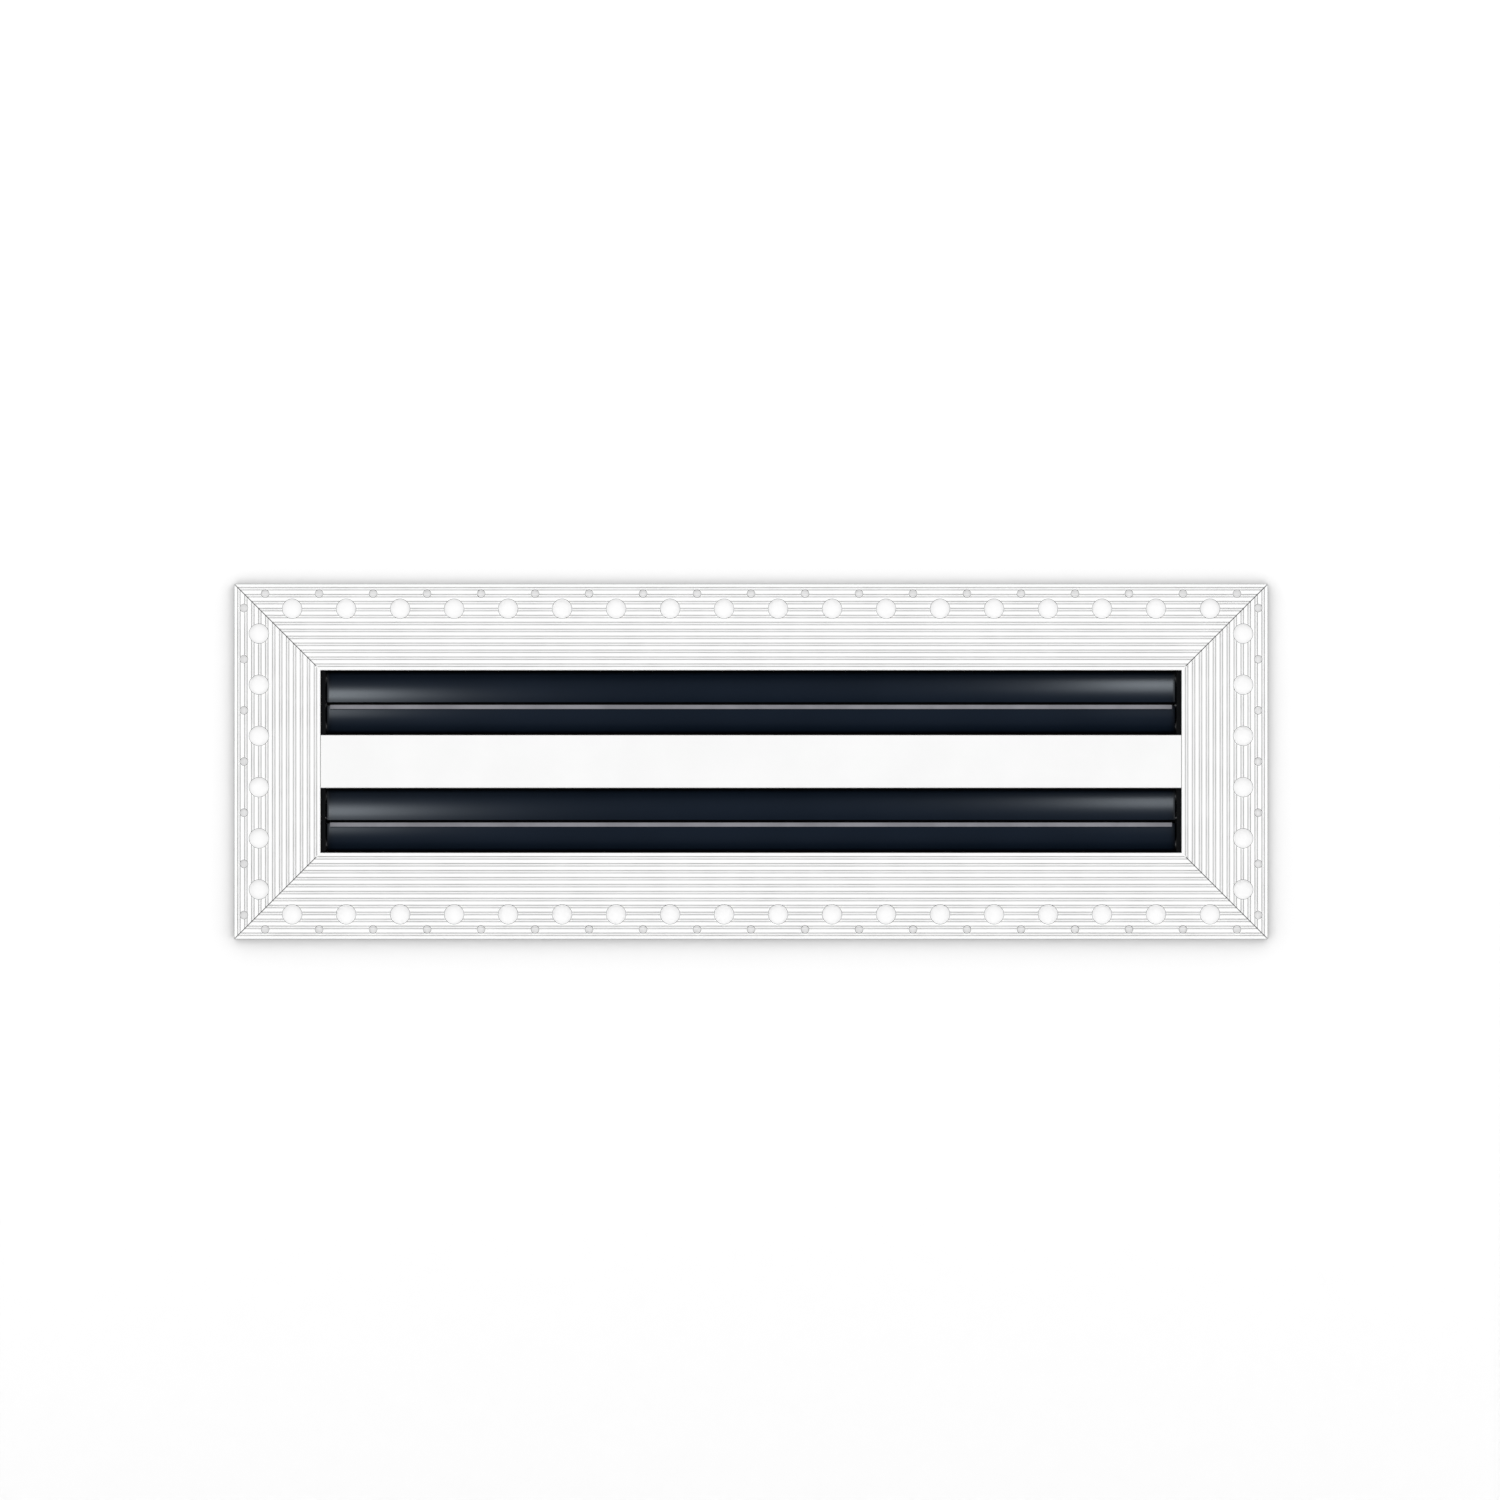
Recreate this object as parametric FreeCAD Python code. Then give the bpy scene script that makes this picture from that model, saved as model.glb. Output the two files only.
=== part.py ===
import FreeCAD, Part
import os

from math import cos, radians, sin, sqrt

# Two-slot linear air grille with a plaster-in flange. All sizes are in millimetres.
# X runs along the slots, +Y goes into the wall and +Z is up. The origin is the centre of the
# opening, on the plane where the back of the flange lies against the wall board.

# Visible face
SLOT_HEIGHT = 25.4
BAR_HEIGHT = 20.6
OPENING_HALF_LENGTH = 168.3
OPENING_HALF_HEIGHT = SLOT_HEIGHT + BAR_HEIGHT / 2
FLANGE_WIDTH = 33.6
FLANGE_THICKNESS = 2.0
MITRE_GAP = 0.3
EDGE_CHAMFER = 0.3

# Grooves that key the plaster to the flange
GROOVE_COUNT = 12
GROOVE_PITCH = 2.72
GROOVE_WIDTH = 1.3
GROOVE_DEPTH = 0.6
FIRST_GROOVE_FROM_EDGE = 1.76

# Holes through the flange
KEY_HOLE_RADIUS = 3.9
KEY_HOLE_ROW = 9.6
SCREW_HOLE_RADIUS = 1.6
SCREW_HOLE_ROW = 3.7
LONG_HOLE_PITCH = 21.1
LONG_SCREW_HOLES = 19
SHORT_HOLE_PITCH = 20.0
SHORT_SCREW_HOLES = 7

# Neck that goes into the wall
WALL_THICKNESS = 1.6
NECK_DEPTH = 42.0

# Channel along the outside of the neck that holds the corner keys
CHANNEL_START = 8.0
CHANNEL_END = 22.8
CHANNEL_RIB = 1.2
CHANNEL_CLEAR_HEIGHT = 1.7
CORNER_KEY_WIDTH = 12.0
CORNER_KEY_THICKNESS = 1.5
CORNER_KEY_ARM = 23.0
GRUB_SCREW_RADIUS = 1.45
GRUB_SCREW_FROM_CORNER = 15.0

# Centre bar
BAR_END_GAP = 0.15
CROSS_WEB_START = 24.0
SCREW_CHANNEL_HALF_WIDTH = 1.7
SCREW_CHANNEL_RIB = 1.4
PORT_RADIUS = 2.9
PORT_BORE_RADIUS = 1.65
FRONT_PORT = (3.4, 0.0)
REAR_PORT_Y = 28.4
REAR_PORT_Z = 5.9

# Spacer bridges across the back of the neck
BRIDGE_POSITIONS = {"left": -112.0, "middle": 0.0, "right": 112.0}
BRIDGE_WIDTH = 14.0
BRIDGE_START = 38.0
BRIDGE_TAB_START = 28.0
BRIDGE_SCREW_Y = 33.0

# End plates that carry the blades
END_PLATE_THICKNESS = 2.0
END_PLATE_START = 0.3
END_PLATE_END = 40.0
END_PLATE_LIP = 6.0
RIVET_Y = 32.0
RIVET_Z = 22.0

# Blades
PIVOT_Y = 7.0
PIVOT_FROM_WALL = 3.2
BLADE_HALF_LENGTH = 165.7
BLADE_THICKNESS = 1.2
BLADE_CURVE_RADIUS = 9.5
BLADE_START_ANGLE = 32.0
BOSS_RADIUS = 2.4
TOP_BLADE_REACH = 9.3
BOTTOM_BLADE_REACH = 8.64
BAFFLE_THICKNESS = 0.8
BAFFLE_BACK = 4.9
BAFFLE_DROP = 1.3
STRIP_HALF_LENGTH = 164.5
STRIP_HEIGHT = 1.6
STRIP_LIP = 0.35
STRIP_CAP = 0.4

# Seals on the slots' walls, behind the blades' tubes
SEAL_START = 10.4
SEAL_DEPTH = 2.2
SEAL_HEIGHT = 2.1

# Pivots
PIN_RADIUS = 1.5
PIN_START = 159.7
PIN_END = 168.1
BUSH_CLEARANCE = 0.05
BUSH_RADIUS = 2.6
BUSH_FLANGE_RADIUS = 3.1
BUSH_FLANGE_THICKNESS = 0.4

# Screws and rivets
SCREW_SHANK_RADIUS = 1.6
SCREW_CLEARANCE_RADIUS = 1.9
SCREW_HEAD_RADIUS = 3.2
SCREW_HEAD_HEIGHT = 2.0
SCREW_HEAD_EDGE = 0.7
RECESS_LENGTH = 3.4
RECESS_WIDTH = 0.8
RECESS_DEPTH = 1.1
RIVET_HOLE_RADIUS = 1.65
RIVET_SHANK_RADIUS = 1.6
RIVET_HEAD_RADIUS = 3.2
RIVET_HEAD_HEIGHT = 0.9
RIVET_TAIL_RADIUS = 2.3
RIVET_TAIL_LENGTH = 1.3

OVERCUT = 1.0
ORIGIN = FreeCAD.Vector(0, 0, 0)
ALONG_X = FreeCAD.Vector(1, 0, 0)
ALONG_Y = FreeCAD.Vector(0, 1, 0)
ALONG_Z = FreeCAD.Vector(0, 0, 1)

NECK_OUTER_HALF_LENGTH = OPENING_HALF_LENGTH + WALL_THICKNESS
NECK_OUTER_HALF_HEIGHT = OPENING_HALF_HEIGHT + WALL_THICKNESS
END_PLATE_FACE = OPENING_HALF_LENGTH - END_PLATE_THICKNESS
BAR_HALF_HEIGHT = BAR_HEIGHT / 2

os.makedirs("parts", exist_ok=True)


def save(name, shape):
    """Writes one piece, or one group of identical pieces, to its own file."""
    shape.exportStep(f"parts/{name}.step")


def box(low, high):
    """A block between two opposite corners."""
    size = [high[i] - low[i] for i in range(3)]
    return Part.makeBox(*size, FreeCAD.Vector(*low))


def rod(radius, start, direction, length):
    """A round bar that starts at a point and runs along a direction."""
    return Part.makeCylinder(radius, length, FreeCAD.Vector(*start), direction)


def prism_along_x(corners, start, end):
    """Extrudes a closed outline of (y, z) corners from one x to another."""
    points = [FreeCAD.Vector(start, y, z) for y, z in corners]
    outline = Part.makePolygon(points + points[:1])
    return Part.Face(outline).extrude(ALONG_X * (end - start))


def joined(shapes):
    """One solid made of overlapping or touching shapes."""
    whole = shapes[0].fuse(shapes[1:])
    return whole.removeSplitter()


def with_holes(shape, holes):
    """The shape with every hole cut out of it."""
    return shape.cut(holes)


def centred(count, pitch):
    """Evenly spaced positions on both sides of zero."""
    return [(i - (count - 1) / 2) * pitch for i in range(count)]


# Flange rails


def rail_outline(opening_edge):
    """The rail's (y, z) outline: grooved flange, neck wall and the two hooks of the key channel."""
    front = -FLANGE_THICKNESS
    outer = FLANGE_WIDTH
    corners = [(front + EDGE_CHAMFER, 0), (front, EDGE_CHAMFER)]
    for i in reversed(range(GROOVE_COUNT)):
        centre = outer - FIRST_GROOVE_FROM_EDGE - i * GROOVE_PITCH
        low = centre - GROOVE_WIDTH / 2
        high = centre + GROOVE_WIDTH / 2
        floor = front + GROOVE_DEPTH
        corners += [(front, low), (floor, low), (floor, high), (front, high)]
    corners += [(front, outer), (0, outer), (0, WALL_THICKNESS)]

    base = WALL_THICKNESS
    under_lip = base + CHANNEL_CLEAR_HEIGHT
    top = under_lip + CHANNEL_RIB
    near_rib = CHANNEL_START + CHANNEL_RIB
    near_lip = near_rib + CHANNEL_RIB
    far_rib = CHANNEL_END - CHANNEL_RIB
    far_lip = far_rib - CHANNEL_RIB
    corners += [(CHANNEL_START, base), (CHANNEL_START, top), (near_lip, top)]
    corners += [(near_lip, under_lip), (near_rib, under_lip), (near_rib, base)]
    corners += [(far_rib, base), (far_rib, under_lip), (far_lip, under_lip)]
    corners += [(far_lip, top), (CHANNEL_END, top), (CHANNEL_END, base)]
    corners += [(NECK_DEPTH, base), (NECK_DEPTH, 0)]
    return [(y, opening_edge + z) for y, z in corners]


def mitred_space(half_length, opening_edge):
    """The space one rail may fill, bounded by the 45 degree joints at its two ends."""
    back_off = MITRE_GAP / 2 * sqrt(2)
    inner = half_length - back_off
    outer = inner + FLANGE_WIDTH
    low = opening_edge
    high = opening_edge + FLANGE_WIDTH
    front = -FLANGE_THICKNESS - OVERCUT
    flat = [(-inner, low), (inner, low), (outer, high), (-outer, high)]
    points = [FreeCAD.Vector(x, front, z) for x, z in flat]
    outline = Part.makePolygon(points + points[:1])
    return Part.Face(outline).extrude(ALONG_Y * (NECK_DEPTH - front + OVERCUT))


def rail(half_length, opening_edge, screw_holes, pitch):
    """A complete rail above the opening, before any holes in its neck wall."""
    reach = half_length + FLANGE_WIDTH
    bar = prism_along_x(rail_outline(opening_edge), -reach, reach)
    bar = bar.common(mitred_space(half_length, opening_edge))
    outer_edge = opening_edge + FLANGE_WIDTH
    front = -FLANGE_THICKNESS - OVERCUT
    depth = FLANGE_THICKNESS + 2 * OVERCUT
    holes = []
    for x in centred(screw_holes, pitch):
        start = (x, front, outer_edge - SCREW_HOLE_ROW)
        holes.append(rod(SCREW_HOLE_RADIUS, start, ALONG_Y, depth))
    for x in centred(screw_holes - 1, pitch):
        start = (x, front, outer_edge - KEY_HOLE_ROW)
        holes.append(rod(KEY_HOLE_RADIUS, start, ALONG_Y, depth))
    return with_holes(bar, holes)


def turned(shape, degrees):
    """A copy turned in the plane of the face, about the centre of the opening."""
    copy = shape.copy()
    copy.rotate(ORIGIN, ALONG_Y, degrees)
    return copy


def bar_screw_places():
    """The (y, z) places where screws go through each end into the centre bar."""
    return [FRONT_PORT, (REAR_PORT_Y, REAR_PORT_Z), (REAR_PORT_Y, -REAR_PORT_Z)]


def end_holes(side, start, depth):
    """Holes along X for the centre bar's screws and the end plate's rivets, at one end."""
    direction = ALONG_X * side
    holes = []
    for y, z in bar_screw_places():
        holes.append(rod(SCREW_CLEARANCE_RADIUS, (side * start, y, z), direction, depth))
    for z in (-RIVET_Z, RIVET_Z):
        holes.append(rod(RIVET_HOLE_RADIUS, (side * start, RIVET_Y, z), direction, depth))
    return holes


def long_rail():
    """The rail along one long side, with the bridge screws' holes in its neck wall."""
    bar = rail(OPENING_HALF_LENGTH, OPENING_HALF_HEIGHT, LONG_SCREW_HOLES, LONG_HOLE_PITCH)
    holes = []
    for x in BRIDGE_POSITIONS.values():
        start = (x, BRIDGE_SCREW_Y, OPENING_HALF_HEIGHT - OVERCUT)
        depth = WALL_THICKNESS + 2 * OVERCUT
        holes.append(rod(SCREW_CLEARANCE_RADIUS, start, ALONG_Z, depth))
    return with_holes(bar, holes)


def short_rail():
    """The rail across one end, still lying above the opening."""
    return rail(OPENING_HALF_HEIGHT, OPENING_HALF_LENGTH, SHORT_SCREW_HOLES, SHORT_HOLE_PITCH)


# Corner keys


def corner_key(side_x, side_z):
    """An L-shaped key whose arms slide in the channels of two neighbouring rails."""
    inner_x = NECK_OUTER_HALF_LENGTH
    inner_z = NECK_OUTER_HALF_HEIGHT
    outer_x = inner_x + CORNER_KEY_THICKNESS
    outer_z = inner_z + CORNER_KEY_THICKNESS
    near = (CHANNEL_START + CHANNEL_END - CORNER_KEY_WIDTH) / 2
    far = near + CORNER_KEY_WIDTH
    flat_arm = box((inner_x - CORNER_KEY_ARM, near, inner_z), (outer_x, far, outer_z))
    upright_arm = box((inner_x, near, inner_z - CORNER_KEY_ARM), (outer_x, far, outer_z))
    key = with_holes(joined([flat_arm, upright_arm]), [grub_screw(i) for i in range(2)])
    return placed_in_corner(key, side_x, side_z)


def grub_screw(arm):
    """The plain cylinder of a grub screw in the first or second arm of a corner key."""
    middle = (CHANNEL_START + CHANNEL_END) / 2
    if arm == 0:
        start = (NECK_OUTER_HALF_LENGTH - GRUB_SCREW_FROM_CORNER, middle, NECK_OUTER_HALF_HEIGHT)
        return rod(GRUB_SCREW_RADIUS, start, ALONG_Z, CORNER_KEY_THICKNESS)
    start = (NECK_OUTER_HALF_LENGTH, middle, NECK_OUTER_HALF_HEIGHT - GRUB_SCREW_FROM_CORNER)
    return rod(GRUB_SCREW_RADIUS, start, ALONG_X, CORNER_KEY_THICKNESS)


def grub_screw_with_socket(arm):
    """A grub screw with the hexagon socket that its key turns."""
    middle = (CHANNEL_START + CHANNEL_END) / 2
    radius = GRUB_SCREW_RADIUS / 2
    depth = CORNER_KEY_THICKNESS / 2
    corners = [(radius * cos(radians(60 * i)), radius * sin(radians(60 * i))) for i in range(6)]
    socket = []
    for a, b in corners:
        if arm == 0:
            x = NECK_OUTER_HALF_LENGTH - GRUB_SCREW_FROM_CORNER + a
            z = NECK_OUTER_HALF_HEIGHT + CORNER_KEY_THICKNESS - depth
        else:
            x = NECK_OUTER_HALF_LENGTH + CORNER_KEY_THICKNESS - depth
            z = NECK_OUTER_HALF_HEIGHT - GRUB_SCREW_FROM_CORNER + a
        socket.append(FreeCAD.Vector(x, middle + b, z))
    out = ALONG_Z if arm == 0 else ALONG_X
    hollow = Part.Face(Part.makePolygon(socket + socket[:1])).extrude(out * (depth + OVERCUT))
    return grub_screw(arm).cut(hollow)


def placed_in_corner(shape, side_x, side_z):
    """Moves a shape built in the +X +Z corner into the wanted corner."""
    if side_x < 0:
        shape = shape.mirror(ORIGIN, ALONG_X)
    if side_z < 0:
        shape = shape.mirror(ORIGIN, ALONG_Z)
    return shape


# Centre bar


def centre_bar():
    """The bar between the slots: face, two webs that form the slots' walls, and screw ports."""
    face_half = OPENING_HALF_LENGTH - BAR_END_GAP
    inside = END_PLATE_FACE
    face_back = WALL_THICKNESS - FLANGE_THICKNESS
    front = -FLANGE_THICKNESS
    outer = BAR_HALF_HEIGHT
    inner = outer - WALL_THICKNESS
    chamfer = EDGE_CHAMFER
    face_corners = [
        (face_back, -outer),
        (front + chamfer, -outer),
        (front, -outer + chamfer),
        (front, outer - chamfer),
        (front + chamfer, outer),
        (face_back, outer),
    ]
    pieces = [prism_along_x(face_corners, -face_half, face_half)]
    for side in (-1, 1):
        low, high = sorted((side * inner, side * outer))
        pieces.append(box((-inside, face_back, low), (inside, BRIDGE_START, high)))
        rib_inner = side * SCREW_CHANNEL_HALF_WIDTH
        rib_outer = side * (SCREW_CHANNEL_HALF_WIDTH + SCREW_CHANNEL_RIB)
        low, high = sorted((rib_inner, rib_outer))
        pieces.append(box((-inside, CROSS_WEB_START, low), (inside, BRIDGE_START, high)))
    cross_end = CROSS_WEB_START + WALL_THICKNESS
    pieces.append(box((-inside, CROSS_WEB_START, -inner), (inside, cross_end, inner)))
    port_y, port_z = FRONT_PORT
    half_neck = WALL_THICKNESS
    neck_low = (-inside, face_back, port_z - half_neck)
    pieces.append(box(neck_low, (inside, port_y, port_z + half_neck)))
    bores = []
    for y, z in bar_screw_places():
        pieces.append(rod(PORT_RADIUS, (-inside, y, z), ALONG_X, 2 * inside))
        bores.append(rod(PORT_BORE_RADIUS, (-inside, y, z), ALONG_X, 2 * inside))
    return with_holes(joined(pieces), bores)


# Spacer bridges


def spacer_bridge(x):
    """A strip across the back of the neck, with a tab against each long rail."""
    low_x = x - BRIDGE_WIDTH / 2
    high_x = x + BRIDGE_WIDTH / 2
    half = OPENING_HALF_HEIGHT
    back = BRIDGE_START + WALL_THICKNESS
    pieces = [box((low_x, BRIDGE_START, -half), (high_x, back, half))]
    for side in (-1, 1):
        low, high = sorted((side * (half - WALL_THICKNESS), side * half))
        pieces.append(box((low_x, BRIDGE_TAB_START, low), (high_x, back, high)))
    across = (x, BRIDGE_SCREW_Y, -half - OVERCUT)
    through = (x, BRIDGE_START - OVERCUT, 0)
    holes = [
        rod(SCREW_CLEARANCE_RADIUS, across, ALONG_Z, 2 * half + 2 * OVERCUT),
        rod(SCREW_CLEARANCE_RADIUS, through, ALONG_Y, WALL_THICKNESS + 2 * OVERCUT),
    ]
    return with_holes(joined(pieces), holes)


# End plates


def pivots():
    """The (z, side) of each blade's pivot; side is 1 for a blade hung from the top of its slot."""
    places = []
    for slot_bottom in (BAR_HALF_HEIGHT, -OPENING_HALF_HEIGHT):
        slot_top = slot_bottom + SLOT_HEIGHT
        places.append((slot_top - PIVOT_FROM_WALL, 1))
        places.append((slot_bottom + PIVOT_FROM_WALL, -1))
    return places


def end_plate(side):
    """The plate that closes both slots at one end, with a lip turned in across its back."""
    low, high = sorted((side * END_PLATE_FACE, side * OPENING_HALF_LENGTH))
    half = OPENING_HALF_HEIGHT
    plate = box((low, END_PLATE_START, -half), (high, END_PLATE_END, half))
    low, high = sorted((side * (END_PLATE_FACE - END_PLATE_LIP), side * END_PLATE_FACE))
    lip = box((low, BRIDGE_START, -half), (high, END_PLATE_END, half))
    plate = joined([plate, lip])
    depth = END_PLATE_THICKNESS + 2 * OVERCUT
    start = END_PLATE_FACE - OVERCUT
    holes = end_holes(side, start, depth)
    for z, _ in pivots():
        holes.append(rod(BUSH_RADIUS, (side * start, PIVOT_Y, z), ALONG_X * side, depth))
    return with_holes(plate, holes)


def bush(side, z):
    """A flanged bush that lines one pivot hole of an end plate."""
    out = ALONG_X * side
    start = (side * END_PLATE_FACE, PIVOT_Y, z)
    flange_start = (side * (END_PLATE_FACE - BUSH_FLANGE_THICKNESS), PIVOT_Y, z)
    body = rod(BUSH_RADIUS, start, out, END_PLATE_THICKNESS)
    flange = rod(BUSH_FLANGE_RADIUS, flange_start, out, BUSH_FLANGE_THICKNESS)
    length = END_PLATE_THICKNESS + BUSH_FLANGE_THICKNESS
    bore = rod(PIN_RADIUS + BUSH_CLEARANCE, flange_start, out, length)
    return joined([body, flange]).cut(bore)


# Blades


def curve_centre():
    """The (y, z) centre of a top blade's curve, measured from its pivot."""
    angle = radians(BLADE_START_ANGLE)
    reach = BLADE_CURVE_RADIUS - BOSS_RADIUS
    return reach * cos(angle), -reach * sin(angle)


def curved_wall(inner_radius, outer_radius, low, half_length):
    """A curved wall below the pivot, from the blade's start angle down to a given height."""
    centre_y, centre_z = curve_centre()
    start = (-half_length, centre_y, centre_z)
    tube = rod(outer_radius, start, ALONG_X, 2 * half_length)
    tube = tube.cut(rod(inner_radius, start, ALONG_X, 2 * half_length))
    angle = radians(BLADE_START_ANGLE)
    far = 2 * outer_radius
    far_y = centre_y - far * cos(angle)
    far_z = centre_z + far * sin(angle)
    kept = [(centre_y, centre_z), (far_y, far_z), (far_y, low), (centre_y, low)]
    return tube.common(prism_along_x(kept, -half_length, half_length))


def blade_from_pivot(reach):
    """A top blade about its own pivot: a tube for the pins and a curved web down to its edge."""
    inner_radius = BLADE_CURVE_RADIUS - BLADE_THICKNESS
    web = curved_wall(inner_radius, BLADE_CURVE_RADIUS, -reach, BLADE_HALF_LENGTH)
    start = (-BLADE_HALF_LENGTH, 0, 0)
    boss = rod(BOSS_RADIUS, start, ALONG_X, 2 * BLADE_HALF_LENGTH)
    bore = rod(PIN_RADIUS, start, ALONG_X, 2 * BLADE_HALF_LENGTH)
    return joined([boss, web]).cut(bore)


def baffle_from_pivot(reach):
    """The strip bonded inside a top blade's edge that turns down behind the bottom blade's edge."""
    half = BLADE_HALF_LENGTH
    lip_front = BAFFLE_BACK - BAFFLE_THICKNESS
    web_y = -(BOSS_RADIUS - BLADE_THICKNESS)
    shelf = box((-half, web_y, -reach), (half, BAFFLE_BACK, -reach + BAFFLE_THICKNESS))
    lip = box((-half, lip_front, -reach - BAFFLE_DROP), (half, BAFFLE_BACK, -reach))
    return joined([shelf, lip]).cut(blade_from_pivot(reach))


def strip_from_pivot(reach):
    """The soft strip that caps the free edge of a blade, about the blade's pivot."""
    inner_radius = BLADE_CURVE_RADIUS - BLADE_THICKNESS - STRIP_LIP
    outer_radius = BLADE_CURVE_RADIUS + STRIP_LIP
    whole = curved_wall(inner_radius, outer_radius, -reach, STRIP_HALF_LENGTH)
    keep_top = -reach + STRIP_HEIGHT
    size = STRIP_HALF_LENGTH + OVERCUT
    far = 2 * BLADE_CURVE_RADIUS
    band = whole.common(box((-size, -far, -reach - OVERCUT), (size, far, keep_top)))
    return band.cut(blade_from_pivot(reach - STRIP_CAP))


def at_pivot(shape, z, side):
    """Moves a shape built about its own pivot to the pivot, upside down for a bottom blade."""
    if side < 0:
        shape = shape.mirror(ORIGIN, ALONG_Z)
    placed = shape.copy()
    placed.translate(FreeCAD.Vector(0, PIVOT_Y, z))
    return placed


def pin(side, z):
    """A plain steel pin pressed into one end of a blade."""
    start = (side * PIN_START, PIVOT_Y, z)
    return rod(PIN_RADIUS, start, ALONG_X * side, PIN_END - PIN_START)


def wall_seal(z, side):
    """A soft strip on the slot's wall that closes the gap behind a blade's tube."""
    wall_z = z + side * PIVOT_FROM_WALL
    low, high = sorted((wall_z - side * SEAL_HEIGHT, wall_z))
    start = (-END_PLATE_FACE, SEAL_START, low)
    return box(start, (END_PLATE_FACE, SEAL_START + SEAL_DEPTH, high))


# Fasteners


def pan_screw(seat, inward, length):
    """A cross-recessed pan head screw whose head sits on a seat and whose shank goes inward."""
    seat = FreeCAD.Vector(*seat)
    shank = Part.makeCylinder(SCREW_SHANK_RADIUS, length, seat, inward)
    rim = SCREW_HEAD_HEIGHT - SCREW_HEAD_EDGE
    collar = Part.makeCylinder(SCREW_HEAD_RADIUS, rim, seat, inward * -1)
    crown_start = seat - inward * rim
    crown_radius = SCREW_HEAD_RADIUS - SCREW_HEAD_EDGE
    crown = Part.makeCone(
        SCREW_HEAD_RADIUS, crown_radius, SCREW_HEAD_EDGE, crown_start, inward * -1
    )
    screw = joined([shank, collar, crown])
    top = seat - inward * SCREW_HEAD_HEIGHT
    return screw.cut([recess_arm(top, inward, i) for i in range(2)])


def recess_arm(top, inward, arm):
    """One of the two crossed slots in a screw head."""
    across = [abs(v) for v in (inward.x, inward.y, inward.z)]
    free = [i for i in range(3) if across[i] == 0]
    half = [RECESS_DEPTH] * 3
    half[free[arm]] = RECESS_LENGTH / 2
    half[free[1 - arm]] = RECESS_WIDTH / 2
    middle = (top.x, top.y, top.z)
    low = [middle[i] - half[i] for i in range(3)]
    high = [middle[i] + half[i] for i in range(3)]
    return box(low, high)


def rivet(side, z):
    """A blind rivet that holds an end plate to the neck wall of a short rail."""
    inward = ALONG_X * -side
    seat = (side * NECK_OUTER_HALF_LENGTH, RIVET_Y, z)
    grip = WALL_THICKNESS + END_PLATE_THICKNESS
    tail_start = (side * END_PLATE_FACE, RIVET_Y, z)
    head_edge = RIVET_HEAD_RADIUS - RIVET_HEAD_HEIGHT
    head_start = FreeCAD.Vector(*seat)
    head = Part.makeCone(
        RIVET_HEAD_RADIUS, head_edge, RIVET_HEAD_HEIGHT, head_start, inward * -1
    )
    shank = rod(RIVET_SHANK_RADIUS, seat, inward, grip)
    tail = rod(RIVET_TAIL_RADIUS, tail_start, inward, RIVET_TAIL_LENGTH)
    return joined([head, shank, tail])


# Pieces


def make_rails():
    """Writes the four mitred rails."""
    top = long_rail()
    save("flange_top", top)
    save("flange_bottom", turned(top, 180))
    short = short_rail()
    start = NECK_OUTER_HALF_LENGTH - WALL_THICKNESS - OVERCUT
    depth = WALL_THICKNESS + 2 * OVERCUT
    save("flange_right", with_holes(turned(short, 90), end_holes(1, start, depth)))
    save("flange_left", with_holes(turned(short, -90), end_holes(-1, start, depth)))


def make_corner_keys():
    """Writes the four corner keys and their grub screws."""
    screws = []
    for side_x, word_x in ((-1, "left"), (1, "right")):
        for side_z, word_z in ((-1, "bottom"), (1, "top")):
            save(f"corner_key_{word_z}_{word_x}", corner_key(side_x, side_z))
            for arm in range(2):
                screws.append(placed_in_corner(grub_screw_with_socket(arm), side_x, side_z))
    save("corner_key_grub_screws", Part.makeCompound(screws))


def make_bar_and_ends():
    """Writes the centre bar, the end plates, and the screws and rivets that hold them."""
    save("centre_bar", centre_bar())
    screws = []
    rivets = []
    for side, word in ((-1, "left"), (1, "right")):
        save(f"end_plate_{word}", end_plate(side))
        bushes = [bush(side, z) for z, _ in pivots()]
        save(f"pivot_bushes_{word}", Part.makeCompound(bushes))
        inward = ALONG_X * -side
        for y, z in bar_screw_places():
            seat = (side * NECK_OUTER_HALF_LENGTH, y, z)
            screws.append(pan_screw(seat, inward, 16.0))
        rivets += [rivet(side, z) for z in (-RIVET_Z, RIVET_Z)]
    save("centre_bar_screws", Part.makeCompound(screws))
    save("end_plate_rivets", Part.makeCompound(rivets))


def make_bridges():
    """Writes the spacer bridges and their screws."""
    rail_screws = []
    bar_screws = []
    back = BRIDGE_START + WALL_THICKNESS
    for word, x in BRIDGE_POSITIONS.items():
        save(f"spacer_bridge_{word}", spacer_bridge(x))
        for side in (-1, 1):
            seat = (x, BRIDGE_SCREW_Y, side * NECK_OUTER_HALF_HEIGHT)
            rail_screws.append(pan_screw(seat, ALONG_Z * -side, 7.0))
        bar_screws.append(pan_screw((x, back, 0), ALONG_Y * -1, 9.5))
    save("bridge_rail_screws", Part.makeCompound(rail_screws))
    save("bridge_bar_screws", Part.makeCompound(bar_screws))


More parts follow.
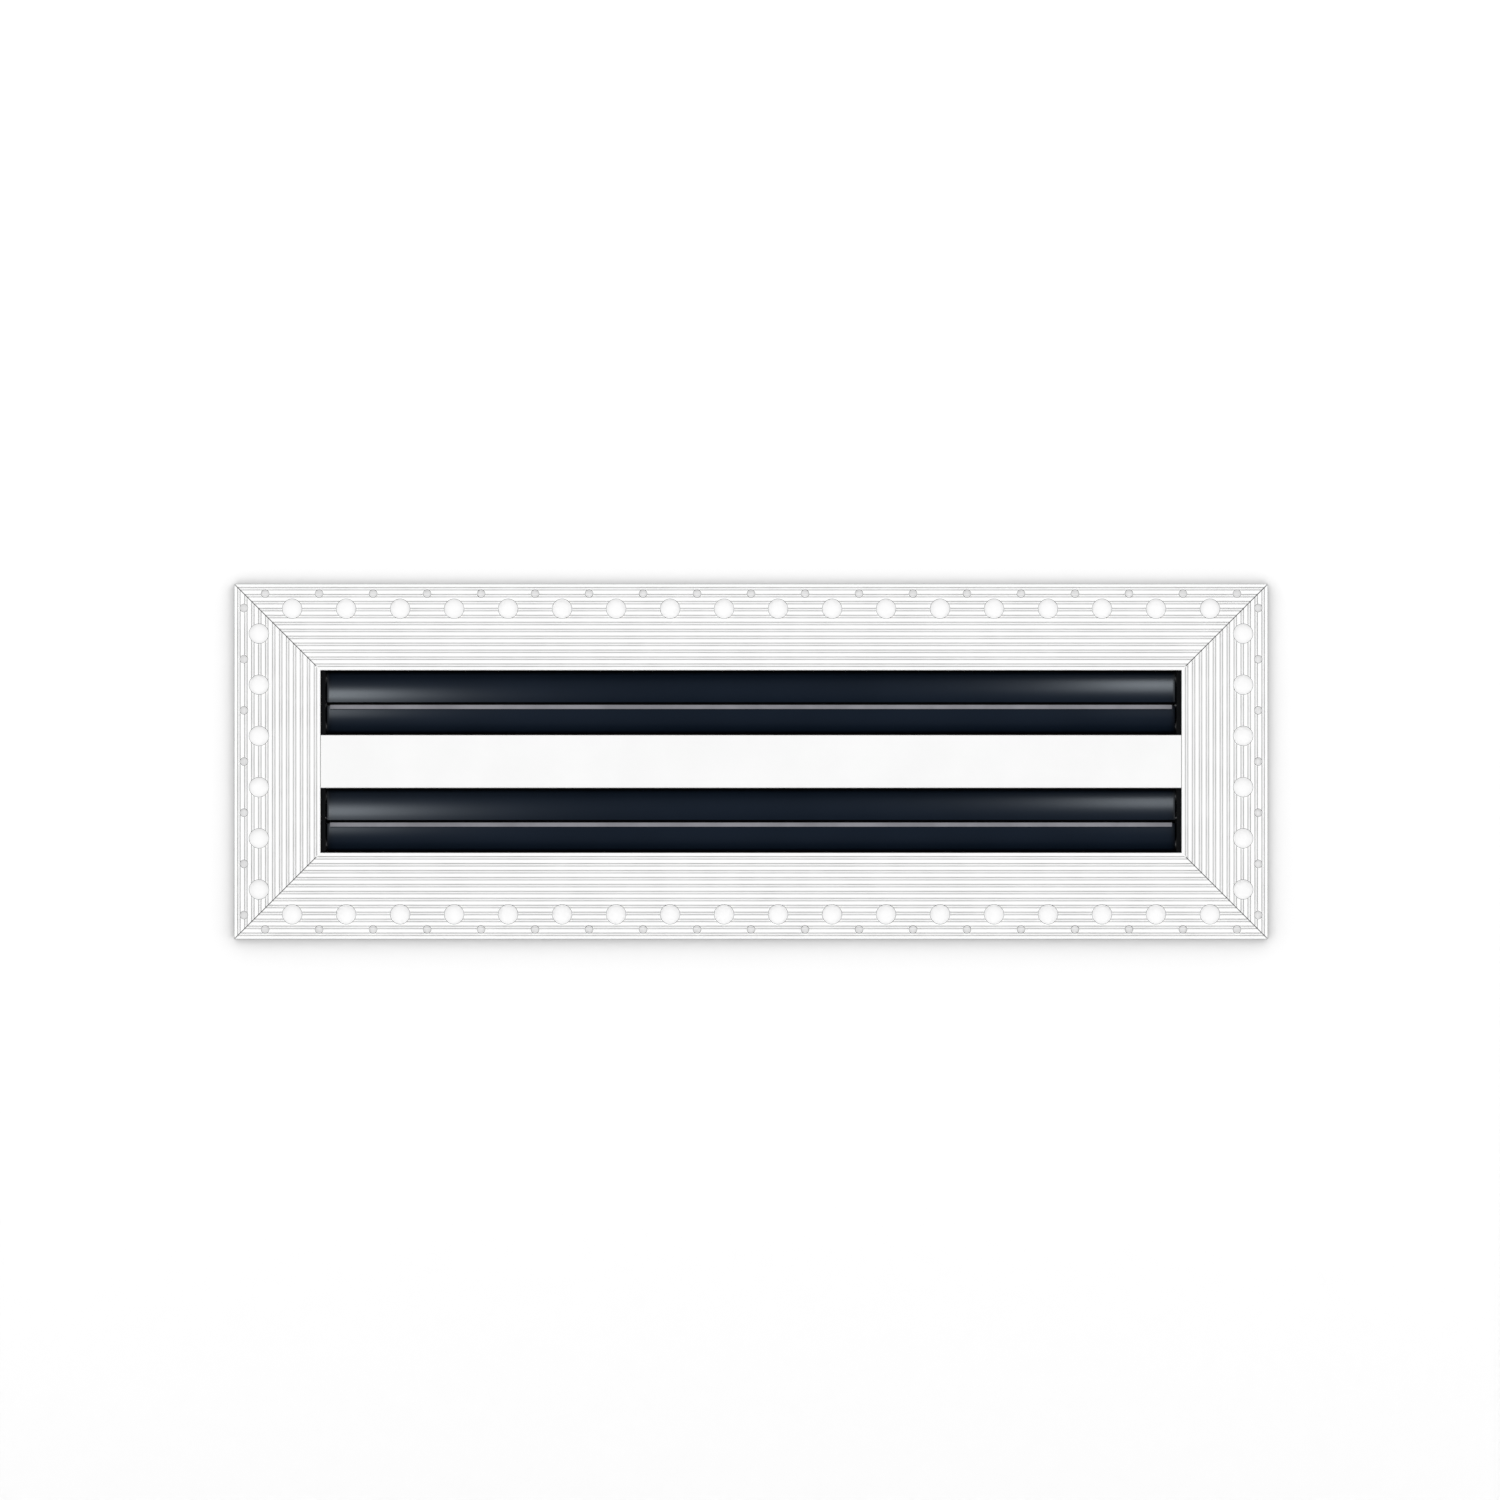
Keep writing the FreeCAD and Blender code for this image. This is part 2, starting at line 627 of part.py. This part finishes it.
def make_blades():
    """Writes the four blades and what goes with each: its pins, wall seal, and baffle or strip."""
    slots = ("upper_slot", "upper_slot", "lower_slot", "lower_slot")
    for slot, (z, side) in zip(slots, pivots()):
        place = "top" if side > 0 else "bottom"
        name = f"{slot}_{place}"
        if side > 0:
            blade = blade_from_pivot(TOP_BLADE_REACH)
            baffle = baffle_from_pivot(TOP_BLADE_REACH)
            save(f"{name}_baffle_strip", at_pivot(baffle, z, side))
        else:
            blade = blade_from_pivot(BOTTOM_BLADE_REACH - STRIP_CAP)
            strip = strip_from_pivot(BOTTOM_BLADE_REACH)
            save(f"{name}_edge_strip", at_pivot(strip, z, side))
        save(f"{name}_blade", at_pivot(blade, z, side))
        save(f"{name}_wall_seal", wall_seal(z, side))
        save(f"{name}_pivot_pins", Part.makeCompound([pin(-1, z), pin(1, z)]))


make_rails()
make_corner_keys()
make_bar_and_ends()
make_bridges()
make_blades()
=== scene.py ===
import math

import bpy
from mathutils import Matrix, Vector


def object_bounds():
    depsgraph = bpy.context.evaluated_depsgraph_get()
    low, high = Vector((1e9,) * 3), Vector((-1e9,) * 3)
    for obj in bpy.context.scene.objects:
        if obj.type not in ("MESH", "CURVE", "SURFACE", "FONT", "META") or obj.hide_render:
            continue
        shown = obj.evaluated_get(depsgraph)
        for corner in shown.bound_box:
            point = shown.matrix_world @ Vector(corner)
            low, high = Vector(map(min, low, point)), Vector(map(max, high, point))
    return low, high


# The looks of a two-slot air grille with a plaster-in flange. Sizes are in metres.
# X runs along the slots, +Y goes into the wall and +Z is up; the visible face looks along -Y.

# The camera, whose picture is square
IMAGE_PIXELS = 1500
METRES_PER_PIXEL = 0.0003908
OBJECT_RIGHT_OF_CENTRE = 0.0004
OBJECT_BELOW_CENTRE = 0.0045
CAMERA_DISTANCE = 1.5

# The stage. The wall stands a little behind the flange's back, so that the flange's shadow on it
# is soft, and the backing shows in the flange's holes. A paint is a share of light thrown back.
WALL_Y = 0.0028
WALL_HALF = 1.6
EDGE_OVERLAP = 0.0001
BACKING_Y = -0.0001
NECK_HALF_LENGTH = 0.17
NECK_HALF_HEIGHT = 0.0374
FLOOR_Z = -0.6
FLOOR_HALF = 0.7
WALL_PAINT = 0.3
BACKING_PAINT = 0.95
SKIRT_PAINT = 0.02
FLOOR_PAINT = 0.9
PAINT_ROUGHNESS = 0.9

# The light from any direction is the level plus the slope along that direction. The camera sees
# an even background instead.
LIGHT_LEVEL = 1.017
LIGHT_SLOPE = (0, -0.346, 0.05)
BACKGROUND_LEVEL = 1.08

# Strip lights that gloss both slots' top or bottom blades on one side. Each has a place, a height
# and a power in watts.
STRIP_LIGHT_WIDTH = 0.032
STRIP_LIGHT_COLOUR = (0.87, 0.94, 1)
BLADE_LIGHTS = {
    ("top", "left"): ((-0.165, -0.255, -0.14), 0.26, 5.2),
    ("bottom", "left"): ((-0.174, -0.25, 0.16), 0.26, 2.2),
    ("top", "right"): ((0.159, -0.25, 0.15), 0.5, 8.2),
    ("bottom", "right"): ((0.16, -0.25, 0.16), 0.26, 0.2),
}

# The box about the opening, inside which the frame and the bar are coated black
OPENING_HALF_LENGTH = 0.16845
OPENING_HALF_HEIGHT = 0.03585
INSIDE_STARTS_Y = -0.0016
INSIDE_DARK = (0.004, 0.004, 0.005)
INSIDE_LIGHT = (0.008, 0.008, 0.009)

# The flange's grooves and mitred corners, darkened with painted shade
FIRST_GROOVE_FROM_EDGE = 0.00176
GROOVE_PITCH = 0.00272
GROOVE_CORNER_FROM_CENTRE = 0.00052
GROOVE_SHADE_WIDTH = 0.00026
MITRE_SHADE_WIDTH = 0.0004
PAINTED_SHADE_GREY = (0.33, 0.33, 0.33)

# The blades' last few millimetres beside the end plates, which are dull and darkened with painted
# shade
BLADE_SHADE_STARTS = 0.1632
BLADE_SHADE_ENDS = 0.167
BLADE_SHADE = (0.0012, 0.0016, 0.0024)
BLADE_END_ROUGHNESS = 0.9

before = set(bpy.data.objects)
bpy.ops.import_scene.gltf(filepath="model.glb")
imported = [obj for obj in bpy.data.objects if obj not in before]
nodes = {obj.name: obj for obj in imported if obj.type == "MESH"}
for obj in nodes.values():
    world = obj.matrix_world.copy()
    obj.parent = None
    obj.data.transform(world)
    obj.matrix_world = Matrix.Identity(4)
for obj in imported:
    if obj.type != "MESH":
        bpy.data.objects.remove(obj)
size_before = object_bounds()

# The flange is the widest and tallest part of the grille, and the origin is at its centre
flange_half_length = size_before[1].x
flange_half_height = size_before[1].z


# Materials


class Surface:
    """A procedural material built around one Principled shader."""

    def __init__(self, name, colour, roughness, metallic=0.0, specular=0.5):
        self.material = bpy.data.materials.new(name)
        self.material.use_nodes = True
        self.tree = self.material.node_tree
        self.shader = self.tree.nodes["Principled BSDF"]
        self.shader.inputs["Base Color"].default_value = (*colour, 1)
        self.shader.inputs["Roughness"].default_value = roughness
        self.shader.inputs["Metallic"].default_value = metallic
        self.shader.inputs["Specular IOR Level"].default_value = specular
        self.place = self.tree.nodes.new("ShaderNodeTexCoord").outputs["Object"]

    def stretched(self, scale):
        """The object's own coordinates, scaled along each axis."""
        mapping = self.tree.nodes.new("ShaderNodeMapping")
        mapping.inputs["Scale"].default_value = scale
        self.tree.links.new(self.place, mapping.inputs["Vector"])
        return mapping.outputs["Vector"]

    def noise(self, scale, detail, stretch=(1, 1, 1)):
        """A noise pattern from 0 to 1."""
        node = self.tree.nodes.new("ShaderNodeTexNoise")
        node.inputs["Scale"].default_value = scale
        node.inputs["Detail"].default_value = detail
        self.tree.links.new(self.stretched(stretch), node.inputs["Vector"])
        return node.outputs["Fac"]

    def ramp(self, value, start, end, low, high):
        """Values from start to end mapped smoothly to values from low to high."""
        node = self.tree.nodes.new("ShaderNodeMapRange")
        node.interpolation_type = "SMOOTHSTEP"
        node.inputs["From Min"].default_value = start
        node.inputs["From Max"].default_value = end
        node.inputs["To Min"].default_value = low
        node.inputs["To Max"].default_value = high
        self.tree.links.new(value, node.inputs["Value"])
        return node.outputs["Result"]

    def spread(self, pattern, low, high):
        """A noise pattern's middle range mapped to values from low to high."""
        return self.ramp(pattern, start=0.3, end=0.7, low=low, high=high)

    def math(self, operation, first, second=0.0):
        """The result of arithmetic on two values, each a float or a socket."""
        node = self.tree.nodes.new("ShaderNodeMath")
        node.operation = operation
        for socket, value in zip(node.inputs, (first, second)):
            if isinstance(value, float):
                socket.default_value = value
            else:
                self.tree.links.new(value, socket)
        return node.outputs["Value"]

    def from_centre(self):
        """The distances from the centre along X and Z, and the depth along Y."""
        axes = self.tree.nodes.new("ShaderNodeSeparateXYZ")
        self.tree.links.new(self.place, axes.inputs["Vector"])
        across = self.math("ABSOLUTE", axes.outputs["X"])
        up = self.math("ABSOLUTE", axes.outputs["Z"])
        return across, axes.outputs["Y"], up

    def inside_opening(self):
        """1 on the inner faces of the neck and the slots, and 0 elsewhere."""
        across, depth, up = self.from_centre()
        behind_face = self.math("GREATER_THAN", depth, INSIDE_STARTS_Y)
        within_length = self.math("LESS_THAN", across, OPENING_HALF_LENGTH)
        within_height = self.math("LESS_THAN", up, OPENING_HALF_HEIGHT)
        within = self.math("MULTIPLY", within_length, within_height)
        return self.math("MULTIPLY", behind_face, within)

    def painted_shade_in_joints(self):
        """The mask of painted shade: 1 in the corners of the flange's grooves and along its mitres,
        and 0 elsewhere.
        """
        across, depth, up = self.from_centre()
        from_end = self.math("SUBTRACT", flange_half_length, across)
        from_side = self.math("SUBTRACT", flange_half_height, up)
        from_edge = self.math("MINIMUM", from_end, from_side)
        along = self.math("SUBTRACT", from_edge, FIRST_GROOVE_FROM_EDGE)
        from_groove = self.math("PINGPONG", along, GROOVE_PITCH / 2)
        beside_corner = self.math("SUBTRACT", from_groove, GROOVE_CORNER_FROM_CENTRE)
        from_corner = self.math("ABSOLUTE", beside_corner)
        groove_shade = self.ramp(from_corner, 0, GROOVE_SHADE_WIDTH, 1, 0)
        beside_mitre = self.math("SUBTRACT", from_end, from_side)
        from_mitre = self.math("ABSOLUTE", beside_mitre)
        mitre_shade = self.ramp(from_mitre, 0, MITRE_SHADE_WIDTH, 1, 0)
        joint_shade = self.math("MAXIMUM", groove_shade, mitre_shade)
        before_back = self.math("LESS_THAN", depth, 0.0)
        return self.math("MULTIPLY", joint_shade, before_back)

    def blend(self, factor, first, second):
        """A colour between two colours, each a tuple or a socket."""
        node = self.tree.nodes.new("ShaderNodeMix")
        node.data_type = "RGBA"
        self.tree.links.new(factor, node.inputs["Factor"])
        for name, colour in (("A", first), ("B", second)):
            socket = next(s for s in node.inputs if s.name == name and s.type == "RGBA")
            if isinstance(colour, tuple):
                socket.default_value = (*colour, 1)
            else:
                self.tree.links.new(colour, socket)
        return next(s for s in node.outputs if s.type == "RGBA")

    def set_colour(self, colour):
        """Uses a colour as the surface's own."""
        self.tree.links.new(colour, self.shader.inputs["Base Color"])

    def vary_colour(self, pattern, dark, light):
        """Colours the surface between two colours by a pattern."""
        self.set_colour(self.blend(self.spread(pattern, 0, 1), dark, light))

    def set_roughness(self, roughness):
        """Uses a pattern of values as the surface's roughness."""
        self.tree.links.new(roughness, self.shader.inputs["Roughness"])

    def vary_roughness(self, pattern, low, high):
        """Sets the roughness between two values by a pattern."""
        self.set_roughness(self.spread(pattern, low, high))

    def bump(self, pattern, strength, height):
        """Raises the surface by a pattern, by up to a height in metres."""
        node = self.tree.nodes.new("ShaderNodeBump")
        node.inputs["Strength"].default_value = strength
        node.inputs["Distance"].default_value = height
        self.tree.links.new(pattern, node.inputs["Height"])
        self.tree.links.new(node.outputs["Normal"], self.shader.inputs["Normal"])

    def draw_along_x(self, strength):
        """Fine drawing lines along X, which spread the gloss round the X axis."""
        tangent = self.tree.nodes.new("ShaderNodeTangent")
        tangent.direction_type = "RADIAL"
        tangent.axis = "X"
        self.shader.inputs["Anisotropic"].default_value = strength
        self.tree.links.new(tangent.outputs["Tangent"], self.shader.inputs["Tangent"])


def powder_coat(name, dark, light, roughness, specular):
    """A sprayed and baked coat: a fine orange-peel texture with faint cloudiness."""
    coat = Surface(name, light, roughness, specular=specular)
    coat.vary_colour(coat.noise(scale=35, detail=3), dark, light)
    coat.vary_roughness(coat.noise(scale=120, detail=4), low=roughness - 0.05, high=roughness + 0.07)
    coat.bump(coat.noise(scale=1600, detail=2), strength=0.25, height=0.00003)
    return coat.material


def white_outside_black_inside(name, dark, light, shaded_joints):
    """A white coat, with a sprayed black coat inside the opening and, if asked for, painted shade in
    the flange's grooves and mitres.
    """
    coat = Surface(name, light, roughness=0.5, specular=0.3)
    clouds = coat.spread(coat.noise(scale=35, detail=3), low=0, high=1)
    white = coat.blend(clouds, dark, light)
    if shaded_joints:
        # Painted shade: the corners of the grooves and the mitres are blended towards grey, a little
        # unevenly.
        shade_strength = coat.spread(coat.noise(scale=90, detail=2), low=0.75, high=1)
        shade_amount = coat.math("MULTIPLY", coat.painted_shade_in_joints(), shade_strength)
        white = coat.blend(shade_amount, white, PAINTED_SHADE_GREY)
    spray = coat.spread(coat.noise(scale=60, detail=3), low=0, high=1)
    black = coat.blend(spray, INSIDE_DARK, INSIDE_LIGHT)
    coat.set_colour(coat.blend(coat.inside_opening(), white, black))
    coat.vary_roughness(coat.noise(scale=120, detail=4), low=0.45, high=0.57)
    coat.bump(coat.noise(scale=1600, detail=2), strength=0.25, height=0.00003)
    return coat.material


def drawn_metal(name, dark, light, roughness, stretch):
    """Bare metal with fine marks, which a small stretch along an axis draws out into long lines."""
    metal = Surface(name, light, roughness, metallic=1.0)
    lines = metal.noise(scale=260, detail=5, stretch=stretch)
    metal.vary_colour(metal.noise(scale=60, detail=4), dark, light)
    metal.vary_roughness(lines, low=roughness - 0.08, high=roughness + 0.12)
    metal.bump(lines, strength=0.15, height=0.00004)
    return metal.material


def zinc_plate(name):
    """Zinc plate with soft grey clouds."""
    zinc = Surface(name, (0.42, 0.43, 0.45), roughness=0.35, metallic=1.0)
    clouds = zinc.noise(scale=90, detail=5)
    zinc.vary_colour(clouds, dark=(0.3, 0.31, 0.33), light=(0.52, 0.53, 0.54))
    zinc.vary_roughness(zinc.noise(scale=300, detail=4), low=0.25, high=0.48)
    zinc.bump(zinc.noise(scale=900, detail=3), strength=0.1, height=0.00003)
    return zinc.material


def moulded(name, dark, light, roughness, specular):
    """Moulded plastic or rubber with a fine grain."""
    plastic = Surface(name, light, roughness, specular=specular)
    plastic.vary_colour(plastic.noise(scale=80, detail=3), dark, light)
    grain = plastic.noise(scale=250, detail=3)
    plastic.vary_roughness(grain, low=roughness - 0.06, high=roughness + 0.06)
    plastic.bump(plastic.noise(scale=2200, detail=2), strength=0.3, height=0.00002)
    return plastic.material


def blade_coat():
    """Blue-black satin coat with faint lines along the blade, dull and darkened with painted shade
    at the blade's ends.
    """
    coat = Surface("blade_coat", (0.0047, 0.009, 0.017), roughness=0.33, specular=0.035)
    lines = coat.noise(scale=90, detail=4, stretch=(0.02, 1, 1))
    clouds = coat.spread(coat.noise(scale=30, detail=3), low=0, high=1)
    body_colour = coat.blend(clouds, (0.0043, 0.0084, 0.016), (0.0052, 0.0097, 0.0182))
    across = coat.from_centre()[0]
    # Painted shade: the colour darkens towards each end of the blade.
    painted_end_shade = coat.ramp(across, BLADE_SHADE_STARTS, BLADE_SHADE_ENDS, 0, 1)
    coat.set_colour(coat.blend(painted_end_shade, body_colour, BLADE_SHADE))
    end_roughness = coat.ramp(across, BLADE_SHADE_STARTS, BLADE_SHADE_ENDS, 0, BLADE_END_ROUGHNESS)
    coat.set_roughness(coat.math("MAXIMUM", coat.spread(lines, low=0.3, high=0.36), end_roughness))
    coat.draw_along_x(strength=0.78)
    coat.bump(coat.noise(scale=1500, detail=2), strength=0.1, height=0.00002)
    return coat.material


# The frame's coat has painted shade in its grooves and mitres, and the bar's has none.
white_frame = white_outside_black_inside(
    "white_frame_coat", dark=(0.84, 0.84, 0.84), light=(0.86, 0.86, 0.86), shaded_joints=True
)
white_bar = white_outside_black_inside(
    "white_bar_coat", dark=(0.78, 0.78, 0.78), light=(0.8, 0.8, 0.8), shaded_joints=False
)
black_plate = powder_coat(
    "black_plate_coat",
    dark=(0.0014, 0.0017, 0.0022),
    light=(0.0026, 0.003, 0.0037),
    roughness=0.45,
    specular=0.05,
)
blade_black = blade_coat()
# The edge strips are grey plastic. Their light grey is partly a painted highlight of the lit edge
# where the blades meet.
painted_highlight_strip = moulded(
    "grey_strip", dark=(0.19, 0.19, 0.21), light=(0.24, 0.24, 0.265), roughness=0.5, specular=0.2
)
seal_rubber = moulded(
    "black_seal_rubber",
    dark=(0.005, 0.005, 0.006),
    light=(0.009, 0.009, 0.01),
    roughness=0.8,
    specular=0.1,
)
nylon = moulded(
    "black_nylon",
    dark=(0.006, 0.006, 0.0065),
    light=(0.011, 0.011, 0.0115),
    roughness=0.45,
    specular=0.25,
)
mill = drawn_metal(
    "mill_aluminium",
    dark=(0.6, 0.61, 0.62),
    light=(0.74, 0.75, 0.76),
    roughness=0.38,
    stretch=(1, 1, 0.03),
)
bridge_zinc = zinc_plate("zinc_strip")
screw_zinc = zinc_plate("zinc_screw")
rivet_metal = drawn_metal(
    "rivet_aluminium",
    dark=(0.6, 0.6, 0.61),
    light=(0.76, 0.76, 0.77),
    roughness=0.32,
    stretch=(1, 0.1, 1),
)
pin_steel = drawn_metal(
    "ground_steel",
    dark=(0.14, 0.14, 0.15),
    light=(0.22, 0.22, 0.23),
    roughness=0.35,
    stretch=(0.1, 1, 1),
)
dark_steel = drawn_metal(
    "black_oxide_steel",
    dark=(0.05, 0.05, 0.055),
    light=(0.1, 0.1, 0.11),
    roughness=0.4,
    stretch=(1, 1, 1),
)

MATERIAL_BY_WORD = (
    ("flange", white_frame),
    ("corner_key_grub_screws", dark_steel),
    ("corner_key", mill),
    ("spacer_bridge", bridge_zinc),
    ("end_plate_rivets", rivet_metal),
    ("end_plate", black_plate),
    ("screws", screw_zinc),
    ("bushes", nylon),
    ("edge_strip", painted_highlight_strip),
    ("wall_seal", seal_rubber),
    ("baffle_strip", seal_rubber),
    ("pins", pin_steel),
    ("blade", blade_black),
    ("centre_bar", white_bar),
)


def material_for(name):
    """The first material whose word is in a node's name."""
    return next(material for word, material in MATERIAL_BY_WORD if word in name)


for name, piece in nodes.items():
    piece.data.materials.clear()
    piece.data.materials.append(material_for(name))


# Stage


def plane(name, corners, faces, material):
    """A flat stage surface."""
    mesh = bpy.data.meshes.new(name)
    mesh.from_pydata(corners, [], faces)
    surface = bpy.data.objects.new(name, mesh)
    mesh.materials.append(material)
    bpy.context.scene.collection.objects.link(surface)
    return surface


def stage_paint(name, level):
    """A flat grey or white paint that throws back a share of the light."""
    return Surface(name, (level, level, level), PAINT_ROUGHNESS, specular=0.0)


def one_sided_paint(name, level):
    """A flat paint on the room side of a surface that is clear from behind."""
    paint = stage_paint(name, level)
    tree = paint.tree
    clear = tree.nodes.new("ShaderNodeBsdfTransparent")
    choice = tree.nodes.new("ShaderNodeMixShader")
    geometry = tree.nodes.new("ShaderNodeNewGeometry")
    tree.links.new(geometry.outputs["Backfacing"], choice.inputs["Fac"])
    tree.links.new(paint.shader.outputs["BSDF"], choice.inputs[1])
    tree.links.new(clear.outputs["BSDF"], choice.inputs[2])
    tree.links.new(choice.outputs["Shader"], tree.nodes["Material Output"].inputs["Surface"])
    return paint.material


def rectangle(half_x, half_z, depth):
    """The four corners of an upright rectangle about the centre, anticlockwise from the room."""
    return [(x * half_x, depth, z * half_z) for x, z in ((-1, -1), (1, -1), (1, 1), (-1, 1))]


def band(name, outer, inner, material):
    """Four faces that join the corners of two rectangles."""
    faces = [(i, (i + 1) % 4, (i + 1) % 4 + 4, i + 4) for i in range(4)]
    return plane(name, outer + inner, faces, material)


under_edge = (flange_half_length - EDGE_OVERLAP, flange_half_height - EDGE_OVERLAP)
wall_paint = one_sided_paint("wall_paint", WALL_PAINT)
backing_paint = one_sided_paint("backing_paint", BACKING_PAINT)
wall_edge = rectangle(*under_edge, WALL_Y)
neck_edge = rectangle(NECK_HALF_LENGTH, NECK_HALF_HEIGHT, BACKING_Y)
wall = band("wall", rectangle(WALL_HALF, WALL_HALF, WALL_Y), wall_edge, wall_paint)
backing = band("backing_in_holes", rectangle(*under_edge, BACKING_Y), neck_edge, backing_paint)
for surface in (wall, backing):
    surface.is_shadow_catcher = True

# Closes the gap between the flange's edge and the wall, so that no light leaks out from behind
skirt_paint = stage_paint("skirt_paint", SKIRT_PAINT).material
skirt = band("skirt", rectangle(*under_edge, 0), wall_edge, skirt_paint)
skirt.visible_camera = False
skirt.visible_glossy = False

floor_corners = [
    (-FLOOR_HALF, -FLOOR_HALF, FLOOR_Z),
    (FLOOR_HALF, -FLOOR_HALF, FLOOR_Z),
    (FLOOR_HALF, FLOOR_HALF, FLOOR_Z),
    (-FLOOR_HALF, FLOOR_HALF, FLOOR_Z),
]
floor_paint = stage_paint("floor_paint", FLOOR_PAINT).material
plane("floor", floor_corners, [(0, 1, 2, 3)], floor_paint)


# Light


def studio_world():
    """Soft light from all round, stronger from above and in front, and a plain white background."""
    world = bpy.data.worlds.new("studio")
    world.use_nodes = True
    tree = world.node_tree
    light = tree.nodes["Background"]
    light.inputs["Color"].default_value = (1, 1, 1, 1)
    direction = tree.nodes.new("ShaderNodeTexCoord")
    slope = tree.nodes.new("ShaderNodeVectorMath")
    slope.operation = "DOT_PRODUCT"
    slope.inputs[1].default_value = LIGHT_SLOPE
    tree.links.new(direction.outputs["Generated"], slope.inputs[0])
    strength = tree.nodes.new("ShaderNodeMath")
    strength.inputs[1].default_value = LIGHT_LEVEL
    tree.links.new(slope.outputs["Value"], strength.inputs[0])
    tree.links.new(strength.outputs["Value"], light.inputs["Strength"])
    background = tree.nodes.new("ShaderNodeBackground")
    background.inputs["Color"].default_value = (1, 1, 1, 1)
    background.inputs["Strength"].default_value = BACKGROUND_LEVEL
    paths = tree.nodes.new("ShaderNodeLightPath")
    choice = tree.nodes.new("ShaderNodeMixShader")
    tree.links.new(paths.outputs["Is Camera Ray"], choice.inputs["Fac"])
    tree.links.new(light.outputs["Background"], choice.inputs[1])
    tree.links.new(background.outputs["Background"], choice.inputs[2])
    tree.links.new(choice.outputs["Shader"], tree.nodes["World Output"].inputs["Surface"])
    world.cycles.sampling_method = "NONE"
    return world


def blade_light(name, place, height, power, lit):
    """A soft upright strip of light that shows only as a gloss on the blades."""
    light = bpy.data.lights.new(name, "AREA")
    light.shape = "RECTANGLE"
    light.size = STRIP_LIGHT_WIDTH
    light.size_y = height
    light.energy = power
    light.color = STRIP_LIGHT_COLOUR
    lamp = bpy.data.objects.new(name, light)
    lamp.location = place
    towards_blades = Vector((0, -place[1], -place[2]))
    lamp.rotation_euler = towards_blades.to_track_quat("-Z", "Y").to_euler()
    lamp.visible_diffuse = False
    lamp.visible_camera = False
    lamp.light_linking.receiver_collection = lit
    bpy.context.scene.collection.objects.link(lamp)


bpy.context.scene.world = studio_world()
for row in ("top", "bottom"):
    lit = bpy.data.collections.new(f"{row}_blades")
    for name, piece in nodes.items():
        if name.endswith(f"{row}_blade"):
            lit.objects.link(piece)
    for side in ("left", "right"):
        blade_light(f"{row}_{side}_light", *BLADE_LIGHTS[row, side], lit)


# Camera

camera_data = bpy.data.cameras.new("camera")
camera_data.type = "ORTHO"
camera_data.ortho_scale = IMAGE_PIXELS * METRES_PER_PIXEL
camera = bpy.data.objects.new("camera", camera_data)
camera.location = (-OBJECT_RIGHT_OF_CENTRE, -CAMERA_DISTANCE, OBJECT_BELOW_CENTRE)
camera.rotation_euler = (math.radians(90), 0, 0)
bpy.context.scene.collection.objects.link(camera)
bpy.context.scene.camera = camera

bpy.context.scene.view_settings.view_transform = "Standard"
